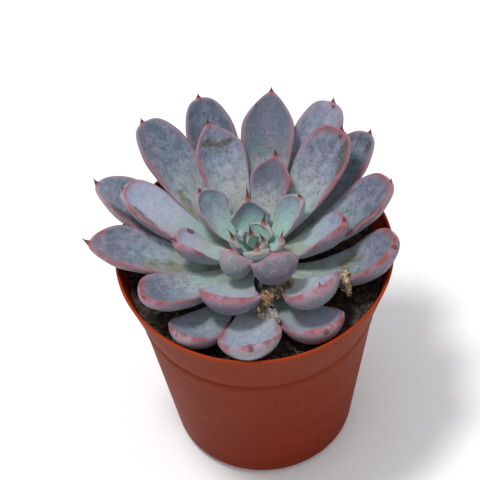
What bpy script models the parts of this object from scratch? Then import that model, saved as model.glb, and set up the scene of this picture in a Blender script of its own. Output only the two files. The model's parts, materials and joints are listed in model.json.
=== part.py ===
"""Potted echeveria: a rosette of thick spoon-shaped leaves in a plain nursery pot.

The pot stands on the plane z = 0 with its axis on the Z axis, and the side of the
rosette that leans lowest looks towards -Y. Sizes below are in millimetres and are
turned into metres where the meshes are made.
"""

import random
from math import cos, pi, radians, sin, sqrt

import bmesh
import bpy
from mathutils import Matrix, Vector

MM = 0.001
GAP = 0.3                    # clearance between pieces that touch

# Pot
POT_HEIGHT = 96.0
RIM_RADIUS = 52.5
KINK_HEIGHT = 72.0           # the collar flares from here up to the rim
KINK_RADIUS = 45.4
STEP = 0.5                   # the wall steps in under the kink by this much
BEAD_HEIGHT = 67.5           # a second faint moulded ring, below the kink
BEAD_OUT = 0.3
BEAD_HALF_HEIGHT = 1.5
# The rounded lip, as (radius, height) measured from the outer top edge of the rim
LIP = ((-0.2, -1.2), (0.0, -0.6), (-0.3, 0.0), (-0.9, 0.0), (-1.3, -0.8))
BASE_RADIUS = 34.0
FOOT_ROUNDING = 4.0
WALL = 1.0
FLOOR = 1.6
POT_SIDES = 64
DRAIN_HOLES = 6
DRAIN_RADIUS = 4.0
DRAIN_CIRCLE = 22.0
DRAIN_SIDES = 16

# Soil
SOIL_EDGE_HEIGHT = 86.5
SOIL_CENTRE_HEIGHT = 80.0
SOIL_BOTTOM = 5.6
SOIL_CLEARANCE = 0.6         # between the soil and the pot's wall
SOIL_SIDES = 48
SOIL_RINGS = (1.0, 0.92, 0.84, 0.75, 0.65, 0.52, 0.38, 0.24)
SOIL_LUMP = 0.5
SOIL_SEED = 7

# Stem
STEM_BOTTOM = 58.0
STEM_RADIUS = 5.4
STEM_SHOULDER = 91.0         # above this height the stem closes in a dome
STEM_DOME = 7.0              # height of the full dome above the shoulder
STEM_TOP = 95.8              # the dome is cut here, and the heart sits on it
STEM_FOOT = 6.0              # height over which the buried end narrows
STEM_FOOT_RADIUS = 4.0
STEM_SIDES = 24

# Leaf rule
LEAF_BASE_SHARE = 0.26       # width of the root as a share of the widest width
LEAF_WIDEST_AT = 0.76        # where along the leaf it is widest
LEAF_TAPER = 1.7             # a higher power keeps the inner half narrow
LEAF_THICKNESS = 4.4
LEAF_DISH = 1.5              # how far the margins rise above the middle of the upper face
OUTER_DISH = 2.2             # how much more they rise in the outer, fuller half
MARGIN_INSET = 0.11          # there the back bulges out beyond the margins by this share
FULLER_FROM = 0.35           # and the fuller half sets in over this share of the length
FULLER_BY = 14.0             # and the outer points of the back move up by this angle
POINT_FLARE = 1.4            # half width of the foot of the pointed tip
POINT_FROM = 0.86
POINT_LENGTH = 2.8
POINT_LIFT = 15.0            # the pointed tip bends up by this angle
CURL_POWER = 2.5             # the leaf curls mostly in its outer part
ROOT_GAP = 0.4               # between the stem and the roots of the leaves
SPINE_STEPS = 100
RINGS = (0.0, 0.14, 0.28, 0.42, 0.55, 0.66, 0.76, 0.83, 0.89, 0.94, 0.98, 1.0)
UPPER_SHARES = (1.0, 0.55, 0.0, -0.55, -1.0)
LOWER_ANGLES = (210, 240, 270, 300, 330)
HEART_RINGS = (0.0, 0.3, 0.55, 0.75, 0.88, 0.96, 1.0)

# Dried remains among the leaves, as rings of (centre, half width, half thickness): the
# stub of an old flower stalk between the front leaves, and a husk over the margin of the
# leaf on the right.
STALK = (
    ((8.4, -16.0, 95.4), 0.7, 0.7),
    ((7.2, -17.5, 95.3), 1.0, 1.0),
    ((6.0, -18.9, 94.7), 1.4, 1.4),
    ((4.6, -20.6, 94.6), 1.9, 1.9),
    ((2.9, -22.6, 95.0), 2.4, 2.2),
    ((1.4, -24.3, 95.4), 2.0, 1.8),
    ((0.4, -25.6, 95.7), 0.9, 0.9),
)
STALK_ACROSS = Vector((0.74, -0.67, 0.0))
FLAKE = (
    ((33.0, -8.7, 93.7), 0.5, 0.4),
    ((33.2, -11.8, 95.3), 1.2, 0.45),
    ((33.1, -14.6, 97.5), 1.5, 0.45),
    ((33.1, -17.8, 100.1), 1.3, 0.45),
    ((33.4, -20.1, 98.6), 1.2, 0.45),
    ((33.7, -20.2, 95.4), 1.4, 0.45),
    ((34.0, -19.8, 92.4), 1.0, 0.45),
    ((34.1, -19.0, 90.0), 0.6, 0.4),
)
FLAKE_ACROSS = Vector((1.0, 0.0, 0.0))
HUSK_SEED = 3

# Heart
HEART_CORE_RADIUS = 3.4
HEART_CORE_TOP = 99.0
HEART_CORE_SIDES = 16

# Every leaf of the rosette, from the youngest to the oldest. On average each one stands
# 137 degrees on from the one before it, and the older ones leave the stem lower down.
# "root" is the height where a leaf leaves the stem. "rise" is its slope there, and "curl"
# how much steeper it is at the tip (degrees); with a higher "power" it curls later. "bend"
# turns it sideways towards the tip and "roll" turns it about its own length. "taper",
# "wide" and "blunt" shape its outline. "point" is the length of the pointed tip, "lift"
# bends that tip up and "sway" bends it sideways.
LEAVES = (
    dict(azimuth=94.5, root=95.7, rise=44, curl=44, length=17, width=15, thick=3.0, blunt=0.85,
         wide=0.62, point=7, lift=-25),
    dict(azimuth=238, root=95.3, rise=29, curl=108, length=20.5, width=13.6, roll=4, thick=4.8,
         point=5, lift=0, sway=-80),
    dict(azimuth=31, root=95.4, rise=34, curl=44, length=24.5, width=12, thick=3.6),
    dict(azimuth=139, root=94.6, rise=31, curl=42, length=27.8, width=14, thick=3.8),
    dict(azimuth=293, root=94.3, rise=24, curl=126, length=25.5, width=18.2, roll=-18,
         thick=4.7),
    dict(azimuth=71, root=94.2, rise=29, curl=34, length=34, width=15.5, blunt=0.75, point=4.2),
    dict(azimuth=185, root=94.4, rise=19, curl=46, length=28.3, width=14.5, roll=12),
    dict(azimuth=0, root=93.8, rise=14, curl=58, length=34.4, width=17, roll=-18),
    dict(azimuth=106, root=92.2, rise=24, curl=32, length=49.6, width=20, roll=5, bend=4,
         thick=4.2, blunt=0.75, point=3.2),
    dict(azimuth=249, root=92.5, rise=14, curl=80, power=4, length=32.8, width=24, roll=6,
         thick=5.0, taper=3),
    dict(azimuth=46, root=91.8, rise=24, curl=34, length=54, width=21, bend=-3),
    dict(azimuth=157.6, root=91.1, rise=16.5, curl=36, length=51.6, width=19, roll=7),
    dict(azimuth=310, root=91.2, rise=9, curl=85, power=3.5, length=37, width=24, roll=-8,
         thick=5.0, wide=0.82, taper=3.5),
    dict(azimuth=79.5, root=89.0, rise=24.7, curl=26, length=61.7, width=20.5, thick=4.2,
         blunt=0.7),
    dict(azimuth=211.6, root=89.8, rise=11.5, curl=32, power=3, length=46, width=20.5, roll=8,
         thick=5.2),
    dict(azimuth=15, root=89.0, rise=14, curl=42, length=55.3, width=21, roll=-9, bend=3),
    dict(azimuth=128, root=88.2, rise=21, curl=28, length=64.4, width=21, roll=6, bend=3,
         thick=4.2),
    dict(azimuth=265.6, root=88.6, rise=4.5, curl=80, power=4.5, length=50, width=24, roll=10,
         thick=4.8, taper=3.2),
    dict(azimuth=59.5, root=86.3, rise=21.3, curl=29, length=65.4, width=19.5, bend=-5,
         thick=4.0),
    dict(azimuth=180.7, root=86.8, rise=15, curl=15, length=58.7, width=20.5, roll=0, bend=-4,
         thick=4.1, point=4.6),
    dict(azimuth=341.7, root=86.6, rise=8, curl=62, length=54.8, width=25, roll=-14, bend=18,
         thick=5.6, taper=2.2),
    dict(azimuth=104, root=84.8, rise=19, curl=38, length=66.5, width=19.4, roll=0, bend=5,
         blunt=0.65),
    dict(azimuth=234, root=84.8, rise=4.5, curl=80, power=4.5, length=48, width=21.5, roll=6,
         bend=3, thick=3.9, taper=3.2),
    dict(azimuth=44.8, root=83.4, rise=16.2, curl=32, length=63.9, width=18.4, bend=-6,
         thick=4.1),
    dict(azimuth=151.6, root=83.4, rise=17.4, curl=26, length=63.8, width=21, roll=4, bend=8,
         point=3.6),
    dict(azimuth=301.5, root=83.6, rise=5.5, curl=80, power=4.5, length=45.5, width=24, roll=-10,
         thick=4.8, taper=2.4),
)

# The small leaves of the heart, fused at the growing tip. "start" is how far from the
# axis they leave it.
HEART_LEAVES = (
    dict(azimuth=50, rise=60, curl=30, length=9.2, width=10.5, thick=2.8, point=6.5, lift=-20,
         start=2.6),
    dict(azimuth=192, rise=52, curl=34, length=10.5, width=7.5, thick=2.6, point=6, lift=-15,
         start=2.6),
    dict(azimuth=150, rise=66, curl=24, length=7.5, width=4.8, point=0.8, start=2.4),
    dict(azimuth=120, rise=78, curl=12, length=6.5, width=5.5, point=5, lift=-10, start=0.6),
    dict(azimuth=278, rise=48, curl=54, length=8.5, width=10.5, thick=3.2, point=4.5, lift=15,
         sway=10, start=3.0),
    dict(azimuth=345, rise=70, curl=20, length=5.6, width=6.5, point=4.5, lift=15, start=2.2),
    dict(azimuth=345, rise=28, curl=54, length=10.8, width=8, thick=2.6, point=4.5, lift=0,
         sway=80, start=2.6),
)
YOUNG_LEAF = dict(root=97.3, thick=2.2, blunt=0.85, point=4.2)


def clear_scene():
    for obj in list(bpy.data.objects):
        bpy.data.objects.remove(obj, do_unlink=True)


def make_material(name, colour, roughness, metallic=0.0):
    material = bpy.data.materials.new(name)
    material.use_nodes = True
    shader = material.node_tree.nodes["Principled BSDF"]
    shader.inputs["Base Color"].default_value = (*colour, 1.0)
    shader.inputs["Roughness"].default_value = roughness
    shader.inputs["Metallic"].default_value = metallic
    return material


def make_object(name, points, faces, material):
    """Make an object from points in millimetres, with its faces turned outwards."""
    mesh = bpy.data.meshes.new(name)
    mesh.from_pydata([Vector(p) * MM for p in points], [], faces)
    shaped = bmesh.new()
    shaped.from_mesh(mesh)
    bmesh.ops.recalc_face_normals(shaped, faces=shaped.faces)
    shaped.to_mesh(mesh)
    shaped.free()
    mesh.materials.append(material)
    mesh.shade_smooth()
    mesh.set_sharp_from_angle(angle=radians(40))
    obj = bpy.data.objects.new(name, mesh)
    bpy.context.scene.collection.objects.link(obj)
    return obj


def revolve(profile, sides):
    """Turn a profile of (radius, height) round Z. Radius 0 makes one point on the axis."""
    points, rings = [], []
    for radius, height in profile:
        if radius == 0:
            rings.append([len(points)])
            points.append((0.0, 0.0, height))
            continue
        first = len(points)
        rings.append(list(range(first, first + sides)))
        for k in range(sides):
            angle = 2 * pi * k / sides
            points.append((radius * cos(angle), radius * sin(angle), height))
    faces = []
    for lower, upper in zip(rings, rings[1:]):
        for k in range(sides):
            n = (k + 1) % sides
            if len(lower) == 1:
                faces.append((lower[0], upper[n], upper[k]))
            elif len(upper) == 1:
                faces.append((lower[k], lower[n], upper[0]))
            else:
                faces.append((lower[k], lower[n], upper[n], upper[k]))
    return points, faces


def wall_radius(height):
    """Outer radius of the pot between its rounded foot and its rim."""
    if height >= KINK_HEIGHT:
        share = (height - KINK_HEIGHT) / (POT_HEIGHT - KINK_HEIGHT)
        return KINK_RADIUS + (RIM_RADIUS - KINK_RADIUS) * share
    share = height / KINK_HEIGHT
    return BASE_RADIUS + (KINK_RADIUS - BASE_RADIUS) * share


def make_pot(material):
    outside = [(0.0, 0.0), (BASE_RADIUS - FOOT_ROUNDING, 0.0)]
    for angle in (30, 60, 90):
        turn = radians(angle)
        height = FOOT_ROUNDING * (1 - cos(turn))
        inset = FOOT_ROUNDING * (1 - sin(turn))
        outside.append((wall_radius(height) - inset, height))
    outside += [
        (wall_radius(BEAD_HEIGHT - BEAD_HALF_HEIGHT), BEAD_HEIGHT - BEAD_HALF_HEIGHT),
        (wall_radius(BEAD_HEIGHT) + BEAD_OUT, BEAD_HEIGHT),
        (wall_radius(BEAD_HEIGHT + BEAD_HALF_HEIGHT), BEAD_HEIGHT + BEAD_HALF_HEIGHT),
        (KINK_RADIUS - STEP, KINK_HEIGHT - 2 * STEP),
        (KINK_RADIUS, KINK_HEIGHT),
    ]
    lip = [(RIM_RADIUS + radius, POT_HEIGHT + height) for radius, height in LIP]
    corner = FLOOR + FOOT_ROUNDING
    inside = [
        (KINK_RADIUS - WALL, KINK_HEIGHT),
        (wall_radius(corner) - WALL, corner),
        (BASE_RADIUS - FOOT_ROUNDING, FLOOR),
        (0.0, FLOOR),
    ]
    pot = make_object("pot", *revolve(outside + lip + inside, POT_SIDES), material)

    cutters = bmesh.new()
    for k in range(DRAIN_HOLES):
        angle = 2 * pi * (k + 0.5) / DRAIN_HOLES
        place = Matrix.Translation(Vector((cos(angle), sin(angle), 0)) * DRAIN_CIRCLE * MM)
        bmesh.ops.create_cone(cutters, cap_ends=True, segments=DRAIN_SIDES, depth=6 * FLOOR * MM,
                              radius1=DRAIN_RADIUS * MM, radius2=DRAIN_RADIUS * MM, matrix=place)
    mesh = bpy.data.meshes.new("drain_cutter")
    cutters.to_mesh(mesh)
    cutters.free()
    cutter = bpy.data.objects.new("drain_cutter", mesh)
    cutter.hide_render = True
    cutter.display_type = "WIRE"
    bpy.context.scene.collection.objects.link(cutter)
    cut = pot.modifiers.new("drain holes", "BOOLEAN")
    cut.operation = "DIFFERENCE"
    cut.object = cutter
    return pot


def make_soil(material):
    """The filling, dished towards the stem, with a plain hole that the stem stands in."""
    random.seed(SOIL_SEED)
    hole = STEM_RADIUS + GAP
    inwards = WALL + SOIL_CLEARANCE
    edge = wall_radius(SOIL_EDGE_HEIGHT) - inwards
    profile = [
        (0.0, SOIL_BOTTOM),
        (BASE_RADIUS - FOOT_ROUNDING, SOIL_BOTTOM),
        (wall_radius(KINK_HEIGHT) - inwards, KINK_HEIGHT),
    ]
    rise = SOIL_EDGE_HEIGHT - SOIL_CENTRE_HEIGHT
    for share in SOIL_RINGS:
        profile.append((edge * share, SOIL_CENTRE_HEIGHT + rise * share ** 4))
    top_rings = range(4, len(profile))
    profile += [
        (hole, SOIL_CENTRE_HEIGHT),
        (hole, STEM_BOTTOM - GAP),
        (0.0, STEM_BOTTOM - GAP),
    ]
    points, faces = revolve(profile, SOIL_SIDES)
    for ring in top_rings:
        first = 1 + (ring - 1) * SOIL_SIDES
        for k in range(first, first + SOIL_SIDES):
            x, y, z = points[k]
            points[k] = (x, y, z + random.uniform(-SOIL_LUMP, SOIL_LUMP))
    return make_object("soil", points, faces, material)


def stem_radius(height):
    if height <= STEM_SHOULDER:
        return STEM_RADIUS
    share = (height - STEM_SHOULDER) / STEM_DOME
    return STEM_RADIUS * sqrt(max(0.0, 1 - share * share))


def make_husk(name, rings, across, sides, material):
    """A ragged dried remnant through rings of (centre, half width, half thickness)."""
    random.seed(HUSK_SEED)
    places = [Vector(place) for place, _, _ in rings]
    points = []
    for ring, (_, wide, thick) in enumerate(rings):
        ahead = places[min(ring + 1, len(places) - 1)]
        behind = places[max(ring - 1, 0)]
        up = (ahead - behind).cross(across).normalized()
        for k in range(sides):
            angle = 2 * pi * k / sides
            ragged = random.uniform(0.85, 1.15)
            points.append(places[ring] + across * cos(angle) * wide * ragged
                          + up * sin(angle) * thick * ragged)
    faces = [tuple(range(sides))]
    for ring in range(len(rings) - 1):
        low, high = ring * sides, (ring + 1) * sides
        for k in range(sides):
            n = (k + 1) % sides
            faces.append((low + k, low + n, high + n, high + k))
    faces.append(tuple(range(len(points) - sides, len(points))))
    return make_object(name, points, faces, material)


def make_stem(material):
    foot = STEM_BOTTOM + STEM_FOOT
    profile = [(0.0, STEM_BOTTOM), (STEM_FOOT_RADIUS, STEM_BOTTOM), (STEM_RADIUS, foot)]
    for share in (0.0, 0.4, 0.7, 1.0):
        height = STEM_SHOULDER + (STEM_TOP - STEM_SHOULDER) * share
        profile.append((stem_radius(height), height))
    profile.append((0.0, STEM_TOP))
    return make_object("stem", *revolve(profile, STEM_SIDES), material)


def spine(leaf, start):
    """Points and directions along a leaf's middle: (point, along, side, up) at each step."""
    azimuth, bend = radians(leaf["azimuth"]), radians(leaf.get("bend", 0))
    rise, curl = radians(leaf["rise"]), radians(leaf["curl"])
    roll = radians(leaf.get("roll", 0))
    point = Vector((start * cos(azimuth), start * sin(azimuth), leaf["root"]))
    frames = []
    for k in range(SPINE_STEPS + 1):
        share = k / SPINE_STEPS
        heading = azimuth + bend * share
        slope = rise + curl * share ** leaf.get("power", CURL_POWER)
        along = Vector((cos(slope) * cos(heading), cos(slope) * sin(heading), sin(slope)))
        level = Vector((-sin(heading), cos(heading), 0.0))
        normal = along.cross(level)
        turn = roll * min(1.0, 2 * share)
        side = level * cos(turn) + normal * sin(turn)
        up = normal * cos(turn) - level * sin(turn)
        frames.append((point.copy(), along, side, up))
        point += along * (leaf["length"] / SPINE_STEPS)
    return frames


def half_width(leaf, share):
    widest = leaf.get("wide", LEAF_WIDEST_AT)
    if share < widest:
        wider = sin(pi / 2 * share / widest) ** leaf.get("taper", LEAF_TAPER)
        outline = LEAF_BASE_SHARE + (1 - LEAF_BASE_SHARE) * wider
    else:
        past = (share - widest) / (1 - widest)
        outline = max(0.0, 1 - past * past) ** leaf.get("blunt", 0.55)
    return leaf["width"] / 2 * outline


def point_half_width(share):
    """The pointed tip grows out of the leaf's end, so the outline runs into it in a curve."""
    return POINT_FLARE * max(0.0, (share - POINT_FROM) / (1 - POINT_FROM)) ** 2


def leaf_depth(leaf, share):
    depth = 0.55 + 0.45 * sin(pi / 2 * min(1.0, share / 0.65))
    if share > 0.7:
        depth *= max(0.0, 1 - ((share - 0.7) / 0.3) ** 2.4) ** 0.6
    return leaf.get("thick", LEAF_THICKNESS) * depth


def leaf_shape(leaf, start, rings=RINGS):
    """A closed leaf: a dished upper face, a full rounded back and a pointed tip."""
    frames = spine(leaf, start)
    points = []
    for share in rings:
        middle, _, side, up = frames[round(share * SPINE_STEPS)]
        flare = point_half_width(share)
        body = half_width(leaf, share)
        width = body + flare
        depth = leaf_depth(leaf, share) + flare
        fuller = min(1.0, max(0.0, (share - FULLER_FROM) / FULLER_FROM))
        dish = (LEAF_DISH * min(1.0, 2 * share) + OUTER_DISH * fuller) * body / (leaf["width"] / 2)
        for across in UPPER_SHARES:
            inset = 1 - MARGIN_INSET * fuller
            points.append(middle + side * width * across * inset + up * dish * across * across)
        for angle in LOWER_ANGLES:
            angle += FULLER_BY * fuller * (angle - 270) / 60
            lean, down = cos(radians(angle)), -sin(radians(angle))
            across = (1 if lean > 0 else -1) * abs(lean) ** 0.85
            points.append(middle + side * width * across
                          + up * (dish * across * across - depth * down ** 0.9))
    count = len(UPPER_SHARES) + len(LOWER_ANGLES)
    middle, along, side, up = frames[-1]
    lift, sway = radians(leaf.get("lift", POINT_LIFT)), radians(leaf.get("sway", 0))
    ahead = (along * cos(sway) + side * sin(sway)) * cos(lift) + up * sin(lift)
    points.append(middle + ahead * leaf.get("point", POINT_LENGTH))
    faces = [tuple(range(count))]
    for ring in range(len(rings) - 1):
        low, high = ring * count, (ring + 1) * count
        for k in range(count):
            n = (k + 1) % count
            faces.append((low + k, low + n, high + n, high + k))
    last = (len(rings) - 1) * count
    faces += [(last + k, last + (k + 1) % count, len(points) - 1) for k in range(count)]
    return points, faces


def make_leaves(material):
    for number, leaf in enumerate(LEAVES, start=1):
        start = stem_radius(leaf["root"]) + ROOT_GAP
        make_object(f"leaf_{number:02d}", *leaf_shape(leaf, start), material)


def make_heart(material):
    """The youngest leaves, joined to the growing tip in one body."""
    core_foot = STEM_TOP + GAP
    profile = [(0.0, core_foot)]
    for share in (0.0, 0.35, 0.65, 0.88):
        height = core_foot + (HEART_CORE_TOP - core_foot) * share
        profile.append((HEART_CORE_RADIUS * sqrt(1 - share * share), height))
    profile.append((0.0, HEART_CORE_TOP))
    heart = make_object("heart", *revolve(profile, HEART_CORE_SIDES), material)

    young = bpy.data.collections.new("young leaves")
    bpy.context.scene.collection.children.link(young)
    for number, leaf in enumerate(HEART_LEAVES, start=1):
        leaf = dict(YOUNG_LEAF, **leaf)
        piece = make_object(f"young_{number}", *leaf_shape(leaf, leaf["start"], HEART_RINGS), material)
        bpy.context.scene.collection.objects.unlink(piece)
        young.objects.link(piece)
    union = heart.modifiers.new("join young leaves", "BOOLEAN")
    union.operation = "UNION"
    union.operand_type = "COLLECTION"
    union.collection = young
    joined = heart.evaluated_get(bpy.context.evaluated_depsgraph_get())
    mesh = bpy.data.meshes.new_from_object(joined)
    heart.modifiers.clear()
    heart.data = mesh
    for piece in list(young.objects):
        bpy.data.objects.remove(piece, do_unlink=True)
    bpy.data.collections.remove(young)
    return heart


def main():
    clear_scene()
    plastic = make_material("terracotta plastic", (0.24, 0.055, 0.025), 0.45)
    earth = make_material("potting soil", (0.012, 0.010, 0.009), 0.95)
    bark = make_material("stem skin", (0.20, 0.16, 0.10), 0.8)
    husk = make_material("dry husk", (0.30, 0.17, 0.07), 0.9)
    bloom = make_material("leaf with bloom", (0.30, 0.34, 0.40), 0.6)
    fresh = make_material("young leaf", (0.32, 0.45, 0.40), 0.55)
    make_pot(plastic)
    make_soil(earth)
    make_stem(bark)
    make_husk("dried_stalk", STALK, STALK_ACROSS, 10, husk)
    make_husk("dried_flake", FLAKE, FLAKE_ACROSS, 6, husk)
    make_leaves(bloom)
    make_heart(fresh)


main()
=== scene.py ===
"""The looks of the potted echeveria: fine leaves with their bloom, soil, dried bits and pot.

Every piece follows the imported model. Sizes are in millimetres until a mesh is made.
"""

import json
import random
from collections import namedtuple
from math import cos, exp, pi, radians, sin, sqrt

import bmesh
import bpy
from mathutils import Matrix, Vector, noise

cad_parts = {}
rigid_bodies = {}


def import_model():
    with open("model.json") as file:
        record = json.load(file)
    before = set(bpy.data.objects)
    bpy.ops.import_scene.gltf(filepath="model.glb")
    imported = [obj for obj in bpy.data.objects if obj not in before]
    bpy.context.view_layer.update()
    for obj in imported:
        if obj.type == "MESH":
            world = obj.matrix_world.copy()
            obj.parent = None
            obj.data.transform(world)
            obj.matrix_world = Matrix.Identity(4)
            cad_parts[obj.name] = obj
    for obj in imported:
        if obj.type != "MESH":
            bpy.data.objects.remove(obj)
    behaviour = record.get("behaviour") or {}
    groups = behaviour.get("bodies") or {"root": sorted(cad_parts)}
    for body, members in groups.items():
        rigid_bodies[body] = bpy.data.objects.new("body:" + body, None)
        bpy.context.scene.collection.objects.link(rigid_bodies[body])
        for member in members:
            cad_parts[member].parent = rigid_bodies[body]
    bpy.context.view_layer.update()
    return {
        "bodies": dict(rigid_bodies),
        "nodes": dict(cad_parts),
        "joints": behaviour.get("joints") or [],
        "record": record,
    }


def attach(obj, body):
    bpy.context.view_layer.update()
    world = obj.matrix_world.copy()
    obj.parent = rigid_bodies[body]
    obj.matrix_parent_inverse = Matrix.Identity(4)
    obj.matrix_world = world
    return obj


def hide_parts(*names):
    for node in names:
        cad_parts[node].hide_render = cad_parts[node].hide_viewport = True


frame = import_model()

MM = 0.001
BODY = "root"

# Pot, as in the model
POT_HEIGHT = 96
RIM_RADIUS = 52.5
LIP_ROUNDING = 0.6
KINK_HEIGHT = 72
KINK_RADIUS = 45.4
STEP = 0.5
BEAD_HEIGHT = 67.5
BEAD_OUT = 0.3
BEAD_REACH = 0.8
BASE_RADIUS = 34
FOOT_ROUNDING = 4
FOOT_FLAT = BASE_RADIUS - FOOT_ROUNDING
WALL = 1
FLOOR = 1.6
DRAIN_HOLES = 6
DRAIN_RADIUS = 4
DRAIN_CIRCLE = 22
POT_SIDES = 240
WALL_STEPS = 44
COLLAR_STEPS = 14
LIP_STEPS = 10
LIT_FROM = 7  # the lip's ring from which the inner face is painted brighter orange, as painted light

# Soil, as in the model, with lumps on its top: (height of the lumps, how many fit in a mm)
SOIL_EDGE_HEIGHT = 86.5
SOIL_CENTRE_HEIGHT = 80
SOIL_BOTTOM = 5.6
SOIL_GAP = 0.6
SOIL_SIDES = 220
SOIL_TOP_RINGS = 60
SOIL_LUMPS = ((0.9, 0.22), (0.6, 0.6), (0.55, 1.5), (0.3, 3.1))
STEM_HOLE = 5.7
STEM_HOLE_DEPTH = 57.7

# Loose bits on the soil, each scattered between two distances from the axis
CRUMBS = 620
CRUMB_RING = (14, 47.5)
CRUMB_SIZES = (0.35, 0.5, 0.7, 1, 1.4)
FIBRES = 150
FIBRE_RING = (16, 46)
FIBRE_END = 47  # fibres stop at this distance from the axis
FIBRE_STRIDE = 0.75
FIBRE_SIDES = 5

# Stem, as in the model
STEM_RADIUS = 5.4
STEM_SHOULDER = 91
STEM_DOME = 7

# Leaf rule, as in the model, with more points. A place along a leaf is a share of its length.
LEAF_BASE_SHARE = 0.26  # the root's width, as a share of the full width
ROOT_DEPTH = 0.55  # the root's thickness, as a share of the full one
FULL_DEPTH_AT = 0.65
THINNER_FROM = 0.7
LEAF_DISH = 1.5
OUTER_DISH = 2.2
MARGIN_INSET = 0.11
BACK_FROM = 195  # the back is part of a turned ring: its first angle
BACK_TURN = 150  # and how far it goes round
FULLER_BY = 14
FULLER = (0.35, 0.7)  # the stretch over which the margins grow full
POINT_FLARE = 1.4
POINT_FROM = 0.86
POINT_END = 0.06
POINT_BEND = 4 / 3  # the point bends early, and its end goes the rest of the way
POINT_HOLLOW = 1.9  # a higher power makes the point a thinner spire on a flared foot
ROOT_GAP = 0.4
SPINE_STEPS = 400
BLADE_RINGS = 66
RINGS_TO_TIP = 1.5  # a higher power crowds the blade's rings towards its end
POINT_RINGS = 14
UPPER_POINTS = 27
LOWER_POINTS = 27
LEAF_WAVE = 0.28  # how far the faces of a leaf swell and sink
WAVES_ACROSS = 0.16  # waves in a mm
WAVES_ALONG = 0.11
STILL_END = 12  # the waves die away over this length before the tip

# How a leaf blushes
BLUSH_SETS_IN = (0.3, 0.65)
SIDE_BLUSH = 0.55  # of a margin that looks along X
FRONT_BLUSH = 1.1  # how much a margin gains if it looks along -Y
AROUND_TIP = (0.75, 0.97)  # past this stretch a margin looks the way that its leaf grows
BACK_EDGE = 0.35  # how far past the margin the back starts

# What the leaf material knows of each point
MARK_KINDS = ("scar", "bruise", "stain")
LEAF_VALUES = (
    "place",  # mm across and along the skin, and a number for this leaf and face
    "along",  # 0 at the root, 1 at the end of the blade
    "edge",  # mm from the margin, below 0 on the back
    "blush",  # how pink the margin is
    "tip",  # 0 at the end of the point, 1 at its foot, and more below it
    "young",  # from 0 for a full-grown leaf to 1 for one of the heart
    "worn",  # how far the bloom of the outer part is rubbed off
    "dark",  # how dark the point is
    "shade",  # how dark the back is painted: painted shade, for backs that face down
) + MARK_KINDS  # 1 at the middle of a mark, 0 at its edge, and less outside it

# A plain leaf, which the leaves below depart from. Angles are in degrees.
PLAIN_LEAF = dict(
    thick=4.4, cup=1,  # thickness, and the depth of its dish as a share
    wide=0.76, taper=1.7,  # where it is widest, and how it narrows to its root
    blunt=0.55, power=2.5,  # a lower blunt ends it squarer, and a higher power curls it later
    roll=0, bend=0,  # turn about its length, and change of heading along it
    point=2.8, lift=15, sway=0,  # its point: length, and bend upwards and sideways
    young=0, worn=0, dark=1, shade=0.5, marks=(),
    flushed=0.35,  # how much pinker the margin is at the tip
)
YOUNG_ROOT = 97.3
YOUNG_LEAF = dict(thick=2.2, cup=0.35, blunt=0.85, point=4.2, young=1, blush=0.5)


def grow(azimuth, root, rise, curl, length, width, **more):
    """A leaf: its heading, the height and slope of its root, how much steeper it ends, its size."""
    return dict(PLAIN_LEAF, azimuth=azimuth, root=root, rise=rise, curl=curl, length=length,
                width=width, **more)


def grow_young(azimuth, start, *sizes, **more):
    """A leaf of the heart, which starts this far from the axis."""
    return grow(azimuth, YOUNG_ROOT, *sizes, start=start, **(YOUNG_LEAF | more))


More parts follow.
